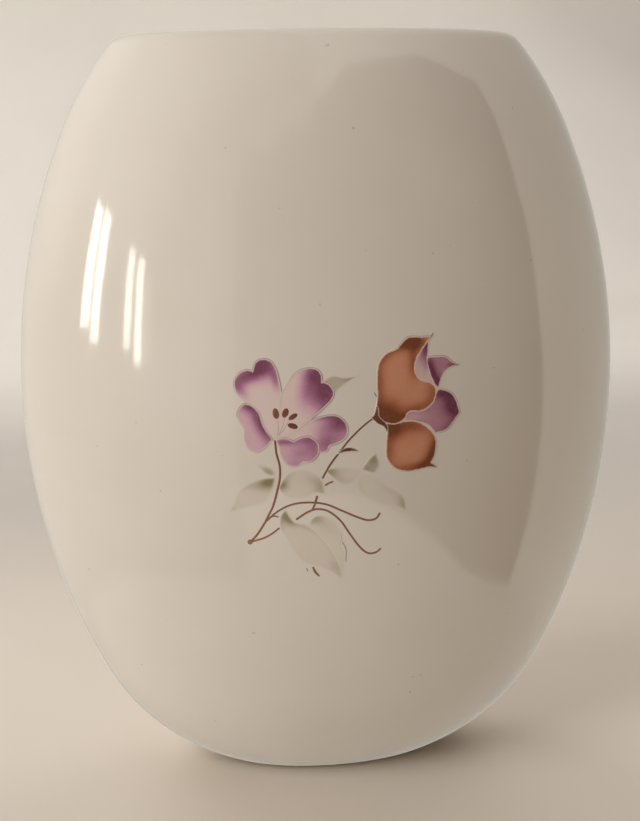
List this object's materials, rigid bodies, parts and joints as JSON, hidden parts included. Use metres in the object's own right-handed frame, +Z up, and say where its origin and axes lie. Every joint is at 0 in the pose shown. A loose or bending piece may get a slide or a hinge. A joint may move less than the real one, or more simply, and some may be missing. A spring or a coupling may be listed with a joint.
{
  "type": "flower vase",
  "caption": "Oval porcelain flower vase with a barrel side, a narrow foot, an open mouth with a rolled shoulder, and a fired floral transfer on the front.",
  "frame": {"origin": "on the floor at the middle of the foot", "axes": "+Z up through the mouth, X along the long side of the oval, the flower transfer faces -Y"},
  "size_m": [0.197, 0.1142, 0.24],
  "materials": {
    "porcelain": "glossy ivory-white glaze over slip-cast porcelain, foot ring left dry and matt",
    "lilac_colour": "fired overglaze colour, purple at the tips fading to pale pink",
    "violet_colour": "fired overglaze colour, violet",
    "russet_colour": "fired overglaze colour, russet brown shading darker at the edges",
    "brown_colour": "fired overglaze colour, dark brown",
    "stem_colour": "fired overglaze line, red-brown",
    "leaf_colour": "soft airbrushed fired colour, grey-green fading into the glaze"
  },
  "bodies": {
    "root": {"vase_body": "porcelain", "petal_upper_left": "lilac_colour", "petal_upper_right": "lilac_colour", "petal_lower_left": "lilac_colour", "petal_lower_right": "lilac_colour", "petal_bottom": "lilac_colour", "stamens": "brown_colour", "leaflet": "leaf_colour", "bud_upper_petal": "russet_colour", "bud_lower_petal": "russet_colour", "bud_calyx": "brown_colour", "bud_violet_sliver": "violet_colour", "bud_violet_curl": "violet_colour", "bud_violet_lower": "violet_colour", "leaf_left": "leaf_colour", "leaf_left_small": "leaf_colour", "leaf_centre": "leaf_colour", "leaf_right": "leaf_colour", "leaf_right_small": "leaf_colour", "leaf_right_long": "leaf_colour", "leaf_low_front": "leaf_colour", "leaf_low_back": "leaf_colour", "stem_left": "stem_colour", "stem_right": "stem_colour", "sepal": "brown_colour", "tendril_high": "stem_colour", "tendril_low": "stem_colour"}
  },
  "joints": []
}
